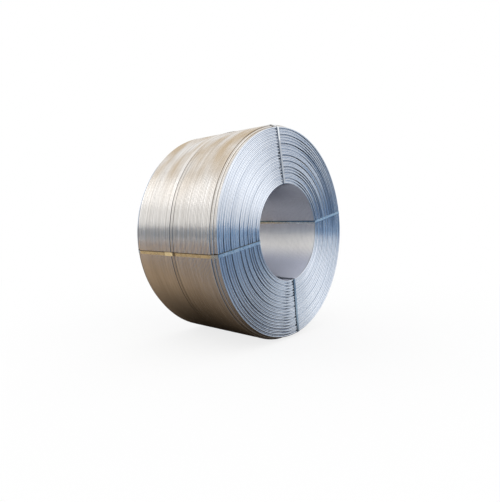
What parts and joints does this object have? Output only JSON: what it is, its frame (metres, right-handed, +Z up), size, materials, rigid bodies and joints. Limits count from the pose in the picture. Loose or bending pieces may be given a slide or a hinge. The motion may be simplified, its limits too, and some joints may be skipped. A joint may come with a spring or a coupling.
{
  "type": "wire rod coil",
  "caption": "Coil of bright aluminium wire rod wound in even layers with an open bore, lying on its barrel and bound with steel straps closed by crimped seals.",
  "frame": {"origin": "the point on the floor under the middle of the coil, which lies on its barrel", "axes": "+Y along the coil's level axis, from the front end to the rear end; +X to the right seen from the front; +Z up"},
  "size_m": [1.237, 0.6388, 1.2371],
  "materials": {
    "rod": "bright drawn rod",
    "strap": "bright steel strip",
    "seal": "crimped steel"
  },
  "bodies": {
    "root": {"rod_coil": "rod", "strap_right": "strap", "strap_top": "strap", "strap_left": "strap", "strap_bottom": "strap", "seal_right": "seal", "seal_top": "seal", "seal_left": "seal", "seal_bottom": "seal"}
  },
  "joints": []
}
